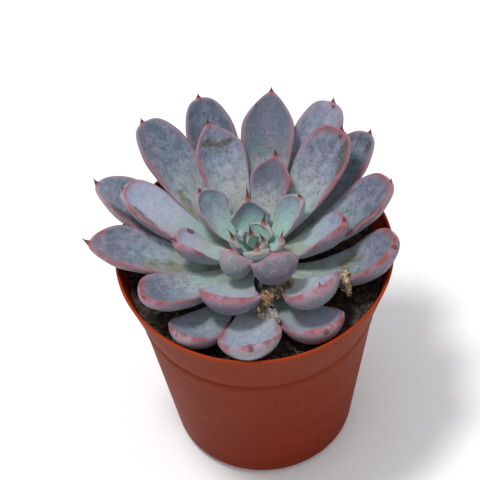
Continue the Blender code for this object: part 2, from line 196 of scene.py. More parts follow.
# Leaves, as in the model, by their number
LEAVES = (
    grow(94.5, 95.7, 44, 44, 17, 15, thick=3, blunt=0.85, wide=0.62, point=7, lift=-25,
         young=0.9),
    grow(238, 95.3, 29, 108, 20.5, 13.6, roll=4, thick=4.8, point=5, lift=0, sway=-80, young=0.5),
    grow(31, 95.4, 34, 44, 24.5, 12, thick=3.6, young=0.7),
    grow(139, 94.6, 31, 42, 27.8, 14, thick=3.8, young=0.55),
    grow(293, 94.3, 24, 126, 25.5, 18.2, roll=-18, thick=4.7, young=0.3),
    grow(71, 94.2, 29, 34, 34, 15.5, blunt=0.75, point=4.2, young=0.35),
    grow(185, 94.4, 19, 46, 28.3, 14.5, roll=12, young=0.4),
    grow(0, 93.8, 14, 58, 34.4, 17, roll=-18, young=0.35),
    grow(106, 92.2, 24, 32, 49.6, 20, roll=5, bend=4, thick=4.2, blunt=0.75, point=3.2,
         young=0.2),
    grow(249, 92.5, 14, 80, 32.8, 24, power=4, roll=6, thick=5, taper=3, young=0.2),
    grow(46, 91.8, 24, 34, 54, 21, bend=-3, young=0.15),
    grow(157.6, 91.1, 16.5, 36, 51.6, 19, roll=7, young=0.15),
    grow(310, 91.2, 9, 85, 37, 24, power=3.5, roll=-8, thick=5, wide=0.82, taper=3.5,
         young=0.1),
    grow(79.5, 89, 24.7, 26, 61.7, 20.5, thick=4.2, blunt=0.7, young=0.1),
    grow(211.6, 89.8, 11.5, 32, 46, 20.5, power=3, roll=8, thick=5.2, young=0.1),
    grow(15, 89, 14, 42, 55.3, 21, roll=-9, bend=3),
    grow(128, 88.2, 21, 28, 64.4, 21, roll=6, bend=3, thick=4.2),
    grow(265.6, 88.6, 4.5, 80, 50, 24, power=4.5, roll=10, thick=4.8, taper=3.2),
    grow(59.5, 86.3, 21.3, 29, 65.4, 19.5, bend=-5, thick=4),
    grow(180.7, 86.8, 15, 15, 58.7, 20.5, bend=-4, thick=4.1, point=4.6),
    grow(341.7, 86.6, 8, 62, 54.8, 25, roll=-14, bend=18, thick=5.6, taper=2.2),
    grow(104, 84.8, 19, 38, 66.5, 19.4, bend=5, blunt=0.65),
    grow(234, 84.8, 4.5, 80, 48, 21.5, power=4.5, roll=6, bend=3, thick=3.9, taper=3.2),
    grow(44.8, 83.4, 16.2, 32, 63.9, 18.4, bend=-6, thick=4.1),
    grow(151.6, 83.4, 17.4, 26, 63.8, 21, roll=4, bend=8, point=3.6),
    grow(301.5, 83.6, 5.5, 80, 45.5, 24, power=4.5, roll=-10, thick=4.8, taper=2.4),
)

# What each leaf looks like, by its number. Where blunt, point or lift is given here, the leaf
# ends a little differently from the model. A mark is (kind, 1 on the upper face or -1 on the
# back, mm along, mm across, half length, half width).
LOOKS = {
    1: dict(worn=0.9, blush=0.9),
    2: dict(worn=0.3, blush=0.7, dark=0.9, shade=0.6),
    3: dict(worn=0.4, blush=0.8, dark=0.9, marks=[("scar", 1, 18.5, -4.5, 5, 0.7)]),
    4: dict(worn=0.6, blush=0.7, dark=0.8),
    5: dict(worn=0.5, blush=0.85, shade=0.9),
    6: dict(worn=1.1, blush=1.1, flushed=1, blunt=0.95),
    7: dict(blush=1, dark=0.9, blunt=0.42, point=4.4, lift=-42, marks=[
        ("scar", 1, 21.5, -6, 3, 1.1)]),
    8: dict(worn=0.35, blush=1.3),
    # Leaf 9's bruises and scar run across it as a crease: partly bruised tissue, partly painted
    # shade of a fold that the leaf's shape lacks
    9: dict(worn=0.7, blush=0.8, flushed=1.1, blunt=0.95, marks=[
        ("bruise", 1, 43, 2, 2, 3.5), ("bruise", 1, 41.5, -3.5, 1.5, 4.5),
        ("scar", 1, 42.5, 1.5, 1, 1.5)]),
    10: dict(blush=1.3, dark=0.15, shade=1, point=1.2),
    11: dict(worn=0.8, blush=1.2, flushed=1.3, blunt=0.36, marks=[
        ("bruise", 1, 48.5, -5.5, 5.5, 2.5), ("bruise", 1, 44, -8, 6.5, 2),
        ("scar", 1, 52, -1, 1.5, 1.5)]),
    12: dict(worn=0.05, blush=1.3, dark=0.6, blunt=0.42, marks=[
        ("bruise", 1, 43, 5, 4.5, 2), ("bruise", 1, 37.5, 6.5, 5, 2)]),
    13: dict(worn=0.3, blush=1.2, dark=0.4),
    14: dict(worn=1.4, blush=0.7, blunt=0.9, marks=[("scar", 1, 57, 5.5, 1.5, 1)]),
    15: dict(worn=0.9, blush=1.3, dark=0.5, shade=0.6, blunt=0.42),
    16: dict(worn=0.85, blush=1.3, dark=0.6, blunt=0.42, marks=[
        ("bruise", 1, 46, -7.5, 6, 2.5), ("bruise", 1, 38, -7.5, 5, 2),
        ("scar", 1, 44, -7, 2, 1)]),
    17: dict(worn=0.85, blush=0.7, blunt=0.46, marks=[
        ("stain", 1, 27, 6, 8, 3.5), ("stain", 1, 33, 5, 4.5, 2.5)]),
    # Leaf 18's mark at its root is painted shade: a dull dark patch where the root lies under the
    # leaves above
    18: dict(worn=0.3, blush=1.2, dark=0.2, shade=0.2, point=1.6, marks=[
        ("bruise", 1, 4, 0, 9, 5), ("scar", -1, 50, 0, 1, 1.5)]),
    19: dict(worn=0.45, blush=0.8, flushed=0.8, blunt=0.42, marks=[("scar", 1, 64.5, -1, 1, 1)]),
    20: dict(worn=0.8, blush=1.2, blunt=0.75, marks=[
        ("stain", 1, 33, 4, 8, 4.5), ("stain", 1, 26, 3.5, 6, 4)]),
    21: dict(worn=0.8, blush=1.4, dark=0.5, shade=0.9, marks=[
        ("scar", -1, 54.5, -2.5, 1, 1.5), ("stain", 1, 31, 4, 7, 4.5),
        ("stain", 1, 35, -7, 7, 4.5)]),
    22: dict(worn=0.9, blush=0.6, blunt=0.5),
    23: dict(worn=0.5, blush=1.1, dark=0.4, point=1.6, marks=[("scar", -1, 47.5, -3, 0.7, 0.7)]),
    24: dict(worn=0.8, blush=0.9, marks=[("bruise", 1, 60, -3, 3, 2)]),
    25: dict(worn=0.5, blush=0.8, blunt=0.7, marks=[("bruise", 1, 50, 6.5, 7, 2.5)]),
    26: dict(worn=0.1, blush=1.3, dark=0.2, shade=0.3, point=1.6, marks=[
        ("scar", -1, 45, -0.5, 1, 2), ("scar", 1, 44.5, 0, 0.7, 1.5)]),
}

# The heart's leaves, as in the model, but with longer points and flatter faces
HEART_LEAVES = (
    grow_young(50, 2.6, 60, 30, 9.2, 10.5, thick=2.8, point=6.5, lift=-20),
    grow_young(192, 2.6, 52, 34, 10.5, 7.5, thick=2.6, point=7.6, lift=-15),
    grow_young(150, 2.4, 66, 24, 7.5, 4.8, point=0.8, dark=0),
    grow_young(120, 0.6, 78, 12, 6.5, 5.5, point=6.4, lift=-10),
    grow_young(278, 3, 48, 54, 8.5, 10.5, thick=3.2, point=5.6, sway=10),
    grow_young(345, 2.2, 70, 20, 5.6, 6.5, point=5.8),
    grow_young(345, 2.6, 28, 54, 10.8, 8, thick=2.6, point=6.2, lift=0, sway=80),
)

# Dried remains, as in the model: rings of (centre, half width, half thickness)
STALK = (
    ((8.4, -16, 95.4), 0.7, 0.7),
    ((7.2, -17.5, 95.3), 1, 1),
    ((6, -18.9, 94.7), 1.4, 1.4),
    ((4.6, -20.6, 94.6), 1.9, 1.9),
    ((2.9, -22.6, 95), 2.4, 2.2),
    ((1.4, -24.3, 95.4), 2, 1.8),
    ((0.4, -25.6, 95.7), 0.9, 0.9),
)
STALK_ACROSS = Vector((0.74, -0.67, 0))
FLAKE = (
    ((33, -8.7, 93.7), 0.5, 0.4),
    ((33.2, -11.8, 95.3), 1.2, 0.45),
    ((33.1, -14.6, 97.5), 1.5, 0.45),
    ((33.1, -17.8, 100.1), 1.3, 0.45),
    ((33.4, -20.1, 98.6), 1.2, 0.45),
    ((33.7, -20.2, 95.4), 1.4, 0.45),
    ((34, -19.8, 92.4), 1, 0.45),
    ((34.1, -19, 90), 0.6, 0.4),
)
FLAKE_ACROSS = Vector((1, 0, 0))
PEEL = (
    ((-0.8, -27.6, 92.2), 0.8, 0.15),
    ((0.9, -28.2, 92.9), 1.9, 0.15),
    ((2.8, -29, 93.6), 2.7, 0.15),
    ((4.8, -29.8, 94), 2.9, 0.15),
    ((6.5, -30.6, 94), 2.3, 0.15),
    ((7.8, -31.4, 93.4), 0.9, 0.15),
)
PEEL_ACROSS = Vector((0.1, 0.75, 0.65)).normalized()
PEEL_RIPPLE = 0.9

# Loose straw round the dried stalk: (centre, spread) of each heap
STRAW = (
    ((12.5, -14.8, 94.2), (1.4, 1, 0.4)),
    ((10.4, -16.4, 94.6), (1.6, 1.2, 0.5)),
    ((8.4, -18.8, 95.2), (1.6, 1.4, 0.6)),
    ((2, -25.6, 95.6), (1.8, 1.4, 0.8)),
    ((-0.6, -26.2, 94.6), (1.6, 1.2, 0.8)),
)

# Small scraps in each ring or heap of the dried remains: (how many, mm long)
STALK_SHARDS = (30, 2)
STRAW_SHARDS = (26, 1.9)
FLAKE_SHARDS = (7, 1.3)
SHARD_RINGS = 5

# The photograph's view. It looks at a point on the pot's axis, and is then turned by small
# angles (degrees) that bring that point to its place in the picture.
PICTURE_SIDE = 480
FOCAL_PIXELS = 3003
CAMERA_ELEVATION = 50.5
CAMERA_DISTANCE = 1128
CAMERA_TARGET_HEIGHT = 48
CAMERA_YAW = 0.26
CAMERA_PITCH = 1.74
CAMERA_ROLL = 3.82
SENSOR_WIDTH = 36

# One soft light high on the left throws the short shadow to the right, under an even sky
KEY_PLACE = (-640, -20, 2460)
KEY_AIM = (0, 0, 60)
KEY_SIZE = 440
KEY_WATTS = 37
KEY_COLOUR = (1, 0.985, 0.96)
SKY = 0.74
SKY_COLOUR = (0.96, 0.98, 1, 1)
STUDIO_FLOOR = 6000


def srgb(red, green, blue):
    """A colour given as 0 to 255 on a screen, as the shader wants it."""
    def linear(value):
        value /= 255
        return value / 12.92 if value <= 0.04045 else ((value + 0.055) / 1.055) ** 2.4
    return (linear(red), linear(green), linear(blue), 1)


class Graph:
    """A material's node tree. Its colours are sockets, or three numbers of 0 to 255."""

    def __init__(self, name):
        self.material = bpy.data.materials.new(name)
        self.material.use_nodes = True
        self.tree = self.material.node_tree
        self.place = self.node("TexCoord", {}, "Object")

    def fill(self, node, sockets):
        """Link a node's sockets to others, or set their values."""
        for name, value in sockets.items():
            if isinstance(value, bpy.types.NodeSocket):
                self.tree.links.new(value, node.inputs[name])
            else:
                node.inputs[name].default_value = value

    def node(self, kind, sockets, output=0, **settings):
        """Add a node, fill its sockets, and give one of its outputs."""
        node = self.tree.nodes.new("ShaderNode" + kind)
        for key, value in settings.items():
            setattr(node, key, value)
        self.fill(node, sockets)
        return node.outputs[output]

    def finish(self, **values):
        """Fill the shader's sockets, with underscores for spaces, and give the material."""
        sockets = {name.replace("_", " "): value for name, value in values.items()}
        self.fill(self.tree.nodes["Principled BSDF"], sockets)
        return self.material

    def attribute(self, name, output="Fac"):
        return self.node("Attribute", {}, output, attribute_name=name)

    def noise(self, scale, detail=3, roughness=0.5, distortion=0):
        """Soft noise. A scale of three numbers is one for each axis."""
        vector = self.place
        if isinstance(scale, tuple):
            vector = self.node("VectorMath", {0: vector, 1: scale}, operation="MULTIPLY")
            scale = 1
        return self.node("TexNoise", {"Vector": vector, "Scale": scale, "Detail": detail,
                                      "Roughness": roughness, "Distortion": distortion})

    def step(self, value, low, high, to_low=0, to_high=1):
        """Runs smoothly from to_low at low to to_high at high."""
        sockets = {"Value": value, "From Min": low, "From Max": high, "To Min": to_low,
                   "To Max": to_high}
        return self.node("MapRange", sockets, interpolation_type="SMOOTHSTEP")

    def math(self, operation, one, other, clamp=False):
        return self.node("Math", {0: one, 1: other}, operation=operation, use_clamp=clamp)

    def times(self, result, *others):
        for other in others:
            result = self.math("MULTIPLY", result, other)
        return result

    def plus(self, one, other):
        return self.math("ADD", one, other)

    def swing(self, value, amount):
        """Noise as a swing to both sides of 0."""
        return self.times(self.math("SUBTRACT", value, 0.5), amount)

    def mix(self, factor, below, above):
        below, above = (srgb(*colour) if isinstance(colour, tuple) else colour
                        for colour in (below, above))
        return self.node("Mix", {"Factor": factor, 6: below, 7: above}, 2, data_type="RGBA")

    def fade(self, value, low, high, below, above):
        """One colour up to low, another from high on, and a smooth mix between."""
        return self.mix(self.step(value, low, high), below, above)

    def tint(self, colour, paint, value, low, high, *shares):
        """Paint over a colour, not at all at low and up to the shares' product at high."""
        return self.mix(self.times(self.step(value, low, high), *shares), colour, paint)

    def bump(self, height, distance_mm, strength, under=None):
        sockets = {"Height": height, "Distance": distance_mm * MM, "Strength": strength}
        if under is not None:
            sockets["Normal"] = under
        return self.node("Bump", sockets, "Normal")


def make_leaf_material():
    """Powdery bloom over a fleshy leaf: greener towards its root, pink at its margins."""
    g = Graph("leaf_bloom")
    g.place = g.attribute("place", "Vector")
    along, edge, blush, tip, young, worn, dark, shade, scar, bruise, stain = (
        g.attribute(name) for name in LEAF_VALUES[1:])
    patches = g.noise((0.1, 0.07, 1), 2, 0.5, 0.5)
    mottle = g.noise((0.36, 0.27, 1), 4, 0.62, 0.3)
    grain = g.noise((0.95, 0.85, 1), 4, 0.68)
    fine = g.noise((2.1, 1.9, 1), 3, 0.65)
    wander = g.noise((0, 0.16, 1), 2, 0.5)

    # Upper face: slate blue where the bloom is rubbed off, pale where it is whole
    slate = g.fade(patches, 0.36, 0.62, (80, 98, 114), (100, 103, 121))
    powder = g.fade(patches, 0.4, 0.64, (160, 170, 192), (172, 171, 194))
    rubbed = g.math("ADD", g.times(worn, g.step(along, 0.28, 0.85), 1.05),
                    g.swing(mottle, g.step(worn, 0, 0.6, 0.7, 1.5)), clamp=True)
    face = g.mix(rubbed, powder, slate)
    rooted = g.fade(patches, 0.42, 0.64, (152, 176, 164), (144, 154, 126))
    face = g.tint(face, rooted, along, 0.8, 0.2, 0.85)
    fresh = g.fade(along, 0.25, 0.8, (154, 200, 186),
                   g.mix(worn, (152, 190, 184), (100, 124, 138)))
    face = g.tint(face, fresh, young, 0.25, 1, 0.9)
    face = g.tint(face, (108, 110, 90), mottle, 0.5, 0.66, g.step(worn, 0.3, 1),
                  g.step(along, 0.95, 0.5), 0.36)

    # Pale and dark specks, fewer where the mottle makes an area smooth
    coarse = g.step(mottle, 0.36, 0.6, 0.25, 1)
    face = g.tint(face, (182, 190, 204), grain, 0.47, 0.34, coarse, 0.18)
    face = g.tint(face, (66, 72, 78), grain, 0.5, 0.66, coarse, g.step(along, 0.15, 0.6, 0.4, 1),
                  g.step(worn, 0, 1, 0.16, 0.62), g.step(young, 0.3, 1, 1, 0.4))
    face = g.tint(face, (78, 80, 88), fine, 0.53, 0.66, coarse, 0.34)

    # Back: grey towards its end, or darker there as painted shade; greener at its root; scuffed,
    # speckled
    low = g.fade(patches, 0.4, 0.6, (160, 176, 168), (150, 156, 166))
    grey = g.fade(patches, 0.38, 0.6, (142, 150, 152), (156, 146, 162))
    # Painted shade: the darker back colour, given to backs that face down as their shade value says
    painted_shade_back = g.fade(patches, 0.38, 0.6, (86, 92, 102), (104, 94, 112))
    back = g.fade(along, 0.25, 0.75, low, g.mix(shade, grey, painted_shade_back))
    scuffs = g.plus(grain, g.swing(mottle, 1.4))
    back = g.tint(back, (184, 182, 196), scuffs, 0.5, 0.74, 0.22)
    back = g.tint(back, (90, 86, 96), grain, 0.48, 0.34, 0.45)
    back = g.tint(back, (92, 88, 96), fine, 0.52, 0.66, 0.35)
    back = g.tint(back, (160, 188, 178), young, 0.3, 1, 0.6)
    colour = g.fade(edge, 0.1, -0.9, face, back)

    # Margin: a pale rim everywhere, and a pink line that wanders, widens and fades
    pale = g.fade(along, 0.35, 0.65, (184, 174, 186), (156, 122, 140))
    colour = g.tint(colour, pale, edge, 0.8, 0.2, g.step(edge, -1.2, -0.5), 0.45)
    ragged = g.plus(g.plus(edge, g.swing(grain, 1.7)), g.swing(wander, 2.6))
    strong = g.times(g.step(blush, 0.08, 0.8), g.step(wander, 0.38, 0.58, 0.22, 1))
    colour = g.tint(colour, (158, 126, 140), ragged, 4.6, 0, g.step(ragged, -3.2, -0.4),
                    strong, 0.55)
    out = g.math("DIVIDE", ragged, g.step(blush, 0.1, 1.3, 0.4, 3.4))
    coral = g.fade(mottle, 0.4, 0.6, (144, 62, 58), (140, 84, 96))
    coral = g.fade(young, 0.25, 0.75, coral, (182, 138, 146))
    cream = g.fade(tip, 1, 1.7, (174, 146, 128), (166, 194, 176))
    line = g.fade(young, 0.65, 0.95, coral, cream)
    colour = g.tint(colour, line, out, 1.1, 0.05, g.step(out, -0.44, -0.02), strong,
                    g.step(fine, 0.36, 0.62, 1, 0.62), g.step(mottle, 0.36, 0.56, 0.62, 1))
    colour = g.tint(colour, (142, 56, 52), out, 0.45, 0.05, g.step(out, -0.24, -0.02),
                    g.step(g.times(strong, blush), 0.2, 1.1), g.step(young, 0.75, 0.35), 0.6)

    # Point: rosy round its foot, then red, and nearly black at its end
    foot = g.plus(tip, g.swing(grain, 0.4))
    rosy = g.fade(young, 0.6, 0.9, (152, 88, 98), (176, 134, 118))
    colour = g.tint(colour, rosy, foot, 1.55, 0.85, dark, 0.6)
    colour = g.tint(colour, (122, 40, 50), foot, 1, 0.64, dark)
    colour = g.tint(colour, (58, 30, 36), foot, 0.7, 0.36, dark)

    # Brown scars, dull bruises and yellowed stains, all with torn edges
    torn = g.swing(grain, 1.1)
    brown = g.fade(fine, 0.45, 0.6, (74, 48, 44), (112, 70, 60))
    colour = g.tint(colour, brown, g.plus(scar, torn), 0.1, 0.55, 0.85)
    dull = g.fade(grain, 0.42, 0.56, (90, 92, 78), (62, 60, 52))
    colour = g.tint(colour, dull, g.plus(bruise, torn), -0.2, 0.45, 0.8)
    yellowed = g.fade(mottle, 0.42, 0.6, (128, 124, 94), (98, 88, 68))
    colour = g.tint(colour, yellowed, g.plus(stain, g.times(torn, 0.6)), -0.1, 0.6, 0.6)
    return g.finish(Base_Color=colour, Roughness=g.step(mottle, 0.35, 0.65, 0.56, 0.74),
                    Normal=g.bump(mottle, 0.35, 0.45, g.bump(fine, 0.05, 0.6)),
                    Specular_IOR_Level=0.35, Sheen_Weight=0.12, Sheen_Roughness=0.5)


def make_pot_material():
    """Thin reddish plastic; painted light makes its inner face and lip a brighter orange."""
    g = Graph("pot_plastic")
    inside = g.attribute("inside")
    height = g.attribute("height")  # mm above the ground
    cloud = g.noise(22)
    flow = g.noise((26, 26, 140))
    fine = g.noise(1400, 3, 0.6)
    scuff = g.noise((320, 320, 900), 2, 0.5, 0.8)
    specks = g.node("TexVoronoi", {"Vector": g.place, "Scale": 90}, "Distance")

    wall = g.fade(height, 4, 90, (110, 36, 15), (118, 46, 22))
    wall = g.tint(wall, (122, 40, 20), cloud, 0.35, 0.65, 0.35)
    wall = g.tint(wall, (146, 68, 44), flow, 0.5, 0.7, 0.15)
    wall = g.tint(wall, (176, 118, 92), scuff, 0.71, 0.78, 0.4)
    dust = g.times(g.step(specks, 0.075, 0.045), g.step(cloud, 0.42, 0.5))
    wall = g.mix(dust, wall, (66, 34, 26))
    # Painted light: a brighter orange strip along the lip
    wall = g.fade(height, 94.2, 95.4, wall, (150, 54, 26))
    # Painted light: the inner face is brighter orange, for light coming through the thin wall
    lit = g.fade(height, 84, 96, (206, 60, 14), (160, 56, 22))
    normal = g.bump(flow, 0.1, 0.35, g.bump(fine, 0.02, 0.5))
    return g.finish(Base_Color=g.mix(inside, wall, lit), Normal=normal, Specular_IOR_Level=0.04,
                    Roughness=g.step(cloud, 0.3, 0.7, 0.44, 0.56))


def make_soil_material():
    """Dark peat with paler grains."""
    g = Graph("potting_soil")
    coarse = g.noise(350, 4, 0.6)
    fine = g.noise(1500, 3, 0.6)
    colour = g.fade(coarse, 0.4, 0.65, (46, 40, 37), (92, 80, 72))
    colour = g.tint(colour, (140, 122, 104), fine, 0.62, 0.72, 0.7)
    normal = g.bump(coarse, 0.8, 0.8, g.bump(fine, 0.2, 0.8))
    return g.finish(Base_Color=colour, Roughness=g.step(fine, 0.3, 0.7, 0.8, 0.97), Normal=normal,
                    Specular_IOR_Level=0.2)


def make_fibre_material():
    """Peat fibres and thin roots, some of them paler than others."""
    g = Graph("peat_fibre")
    stripes = g.noise(500, 3, 0.6)
    colour = g.mix(g.attribute("part"), (70, 54, 40), (140, 116, 84))
    colour = g.tint(colour, (44, 35, 28), stripes, 0.4, 0.65, 0.6)
    return g.finish(Base_Color=colour, Roughness=g.step(stripes, 0.3, 0.7, 0.7, 0.9),
                    Normal=g.bump(stripes, 0.1, 0.6))


def make_stem_material():
    """Dull green skin with bands where leaves have grown."""
    g = Graph("stem_bark")
    bands = g.noise((300, 300, 1200), 4, 0.6)
    return g.finish(Base_Color=g.fade(bands, 0.35, 0.65, (112, 118, 92), (146, 156, 128)),
                    Roughness=g.step(bands, 0.3, 0.7, 0.7, 0.85), Normal=g.bump(bands, 0.4, 0.7))


def make_husk_material():
    """Dry brown tissue: tan strands, rusty crumbs, and greyish skin where "rusty" is below 0."""
    g = Graph("dry_husk")
    strands = g.noise((900, 520, 520), 4, 0.65)
    patches = g.noise(300, 3, 0.6)
    rusty = g.attribute("rusty")
    tan = g.fade(strands, 0.36, 0.62, (126, 106, 82), (206, 190, 158))
    rust = g.fade(strands, 0.38, 0.6, (84, 58, 38), (164, 116, 74))
    colour = g.fade(g.plus(rusty, g.swing(patches, 1.2)), 0.35, 0.65, tan, rust)
    colour = g.tint(colour, (60, 44, 32), patches, 0.5, 0.34, 0.45)
    skin = g.fade(strands, 0.4, 0.6, (112, 108, 102), (168, 164, 158))
    return g.finish(Base_Color=g.fade(rusty, -0.4, -0.8, colour, skin),
                    Roughness=g.step(strands, 0.3, 0.7, 0.75, 0.95),
                    Normal=g.bump(strands, 0.35, 0.9))


def make_floor_material():
    """White paper."""
    g = Graph("studio_paper")
    fibre = g.noise(300, 3, 0.6)
    return g.finish(Base_Color=g.mix(fibre, (244, 244, 245), (248, 248, 249)), Roughness=0.9)


def add_object(name, data):
    thing = bpy.data.objects.new(name, data)
    bpy.context.scene.collection.objects.link(thing)
    return thing


def make_piece(name, points, faces, material, slot, stands_for=(), **attributes):
    """A mesh object from points in millimetres, riding on the part's body."""
    mesh = bpy.data.meshes.new(name)
    mesh.from_pydata([Vector(p) * MM for p in points], [], faces)
    for key, values in attributes.items():
        if isinstance(values[0], tuple):
            layer = mesh.attributes.new(key, "FLOAT_VECTOR", "POINT")
            layer.data.foreach_set("vector", [x for value in values for x in value])
        else:
            layer = mesh.attributes.new(key, "FLOAT", "POINT")
            layer.data.foreach_set("value", values)
    shaped = bmesh.new()
    shaped.from_mesh(mesh)
    bmesh.ops.recalc_face_normals(shaped, faces=shaped.faces)
    shaped.to_mesh(mesh)
    shaped.free()
    mesh.materials.append(material)
    mesh.shade_smooth()
    piece = add_object(name, mesh)
    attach(piece, BODY)
    if stands_for:
        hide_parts(*stands_for)
    return piece


def add_rings(rings, points, faces):
    """Add a closed body through equal rings that follow each other. Tells how many points."""
    first, count = len(points), len(rings[0])
    for ring in rings:
        points += ring
    last = len(points) - count
    for low in range(first, last, count):
        for k in range(count):
            n = (k + 1) % count
            faces.append((low + k, low + n, low + count + n, low + count + k))
    faces.append(tuple(range(first, first + count)))
    faces.append(tuple(range(last, last + count)))
    return len(points) - first


def ramp(value, low, high):
    """0 up to low, 1 from high on, and a straight line between."""
    return min(1, max(0, (value - low) / (high - low)))


def stem_radius(height):
    share = ramp(height, STEM_SHOULDER, STEM_SHOULDER + STEM_DOME)
    return STEM_RADIUS * sqrt(1 - share * share)


def spine(leaf):
    """Points and directions along a leaf's middle: (point, along, side, up) at each step."""
    azimuth, bend, rise, curl, roll = (
        radians(leaf[key]) for key in ("azimuth", "bend", "rise", "curl", "roll"))
    start = leaf.get("start", stem_radius(leaf["root"]) + ROOT_GAP)
    point = Vector((start * cos(azimuth), start * sin(azimuth), leaf["root"]))
    frames = []
    for k in range(SPINE_STEPS + 1):
        share = k / SPINE_STEPS
        heading = azimuth + bend * share
        slope = rise + curl * share ** leaf["power"]
        along = Vector((cos(slope) * cos(heading), cos(slope) * sin(heading), sin(slope)))
        level = Vector((-sin(heading), cos(heading), 0))
        normal = along.cross(level)
        turn = roll * min(1, 2 * share)
        side = level * cos(turn) + normal * sin(turn)
        up = normal * cos(turn) - level * sin(turn)
        frames.append((point.copy(), along, side, up))
        point += along * (leaf["length"] / SPINE_STEPS)
    return frames


def half_width(leaf, share):
    """Half the width of the blade, without the flare of its point."""
    widest = leaf["wide"]
    if share < widest:
        wider = sin(pi / 2 * share / widest) ** leaf["taper"]
        outline = LEAF_BASE_SHARE + (1 - LEAF_BASE_SHARE) * wider
    else:
        past = (share - widest) / (1 - widest)
        outline = max(0, 1 - past * past) ** leaf["blunt"]
    return leaf["width"] / 2 * outline


def distance_to_rim(leaf, share, across):
    """How far ahead, along the leaf, the rim is of a point that lies across from the middle."""
    widest = leaf["wide"]
    narrowed = min(1, 2 * across / leaf["width"]) ** (1 / leaf["blunt"])
    return leaf["length"] * (widest + (1 - widest) * sqrt(1 - narrowed) - share)


def leaf_depth(leaf, share):
    """How thick the leaf is: less at its root, and thin at its end."""
    depth = ROOT_DEPTH + (1 - ROOT_DEPTH) * sin(pi / 2 * min(1, share / FULL_DEPTH_AT))
    return leaf["thick"] * depth * (1 - ramp(share, THINNER_FROM, 1) ** 2.4) ** 0.6


def section(width, depth, dish, fuller, rounding):
    """One ring of a leaf: (across, up, share of the way across, 1 on the face or -1 behind)."""
    ring = []
    inset = 1 - MARGIN_INSET * fuller
    for k in range(UPPER_POINTS):
        across = 1 - 2 * k / (UPPER_POINTS - 1)
        height = dish * across * across + rounding * (1 - across * across)
        ring.append((width * across * inset, height, across, 1))
    for k in range(LOWER_POINTS):
        angle = BACK_FROM + BACK_TURN * k / (LOWER_POINTS - 1)
        angle += FULLER_BY * fuller * (angle - 270) / 60
        lean, down = cos(radians(angle)), -sin(radians(angle))
        across = (1 if lean > 0 else -1) * abs(lean) ** 0.85
        height = dish * across * across - depth * max(0, down) ** 0.9
        ring.append((width * across, height, across, -1))
    return ring


# One cut across a leaf: its place as a share and in mm, how near it is to the tip, the half
# width of the blade, the middle, the directions sideways and up, and the outline
Cut = namedtuple("Cut", "share at to_tip half middle side up outline")


def cut_blade(leaf, frames, share):
    exact = share * SPINE_STEPS
    k = min(SPINE_STEPS - 1, int(exact))
    middle, _, side, up = (a.lerp(b, exact - k) for a, b in zip(frames[k], frames[k + 1]))
    half = half_width(leaf, share)
    flare = POINT_FLARE * ramp(share, POINT_FROM, 1) ** 2
    fuller = ramp(share, *FULLER)
    dish = LEAF_DISH * min(1, 2 * share) + OUTER_DISH * fuller
    dish *= leaf["cup"] * half / (leaf["width"] / 2)
    outline = section(half + flare, leaf_depth(leaf, share) + flare, dish, fuller, 0.5 * flare)
    at = leaf["length"] * share
    return Cut(share, at, 1 + (leaf["length"] - at) / 2, half, middle, side, up, outline)


def cut_point(leaf, frame):
    """Cuts along the point, which bends up by its lift and sideways by its sway."""
    middle, first_along, first_side, first_up = frame
    lift, sway = radians(leaf["lift"]), radians(leaf["sway"])
    cuts = []
    for k in range(1, POINT_RINGS + 1):
        past = k / POINT_RINGS
        bent = POINT_BEND * (1 - (1 - past) ** 3)
        sideways, upwards = sway * bent, lift * bent
        level = first_along * cos(sideways) + first_side * sin(sideways)
        side = first_side * cos(sideways) - first_along * sin(sideways)
        along = level * cos(upwards) + first_up * sin(upwards)
        up = first_up * cos(upwards) - level * sin(upwards)
        middle = middle + along * (leaf["point"] / POINT_RINGS)
        width = POINT_END + (POINT_FLARE - POINT_END) * (1 - past) ** POINT_HOLLOW
        outline = section(width, width, 0, 1, 0.5 * width)
        at = leaf["length"] + leaf["point"] * past
        cuts.append(Cut(1 + past, at, 1 - past, 0, middle, side, up, outline))
    return cuts


def mark_depth(marks, kind, along_mm, across_mm, side):
    """How deep a point lies in the marks of one kind: 1 at a mark's middle, 0 at its edge."""
    deepest = -1
    for mark_kind, mark_side, at_along, at_across, half_along, half_across in marks:
        if mark_kind == kind and mark_side == side:
            away = sqrt(((along_mm - at_along) / half_along) ** 2
                        + ((across_mm - at_across) / half_across) ** 2)
            deepest = max(deepest, 1 - away)
    return deepest


def walk(points):
    """(distance from the first point, distance to the last), going from point to point."""
    walked = [0]
    for before, after in zip(points, points[1:]):
        walked.append(walked[-1] + (after - before).length)
    return [(step, walked[-1] - step) for step in walked]


def add_values(values, leaf, number, cut, ring, walked_along):
    """Add what the leaf material knows of each point of one cut."""
    to_margins = walk(ring[:UPPER_POINTS]) + walk(ring[UPPER_POINTS:])
    around = ramp(cut.share, *AROUND_TIP)
    for k, (across, _, across_share, face) in enumerate(cut.outline):
        # Distance from the nearer margin, which goes round the tip
        edge = min(to_margins[k])
        if cut.share < 1:
            ahead = distance_to_rim(leaf, cut.share, cut.half * abs(across_share))
            edge *= ahead / sqrt(edge * edge + ahead * ahead) if ahead > 0 else 0
        if face < 0:
            edge = -BACK_EDGE - edge
        outward = cut.side.y if across_share > 0 else -cut.side.y
        outward = outward * (1 - around) + sin(radians(leaf["azimuth"])) * around
        sunny = ramp(SIDE_BLUSH - FRONT_BLUSH * outward + leaf["flushed"] * around, 0, 1)
        own = dict(
            place=((to_margins[k][0] - to_margins[k][1]) / 2, walked_along[k],
                   number * 31 + (0 if face > 0 else 13)),
            along=cut.share,
            edge=edge,
            blush=leaf["blush"] * sunny * ramp(cut.share, *BLUSH_SETS_IN),
            tip=cut.to_tip + 0.12 * max(0, abs(across) - 0.8) ** 2,
        )
        own.update((kind, mark_depth(leaf["marks"], kind, cut.at, across, face))
                   for kind in MARK_KINDS)
        for key in LEAF_VALUES:
            values[key].append(own[key] if key in own else leaf[key])


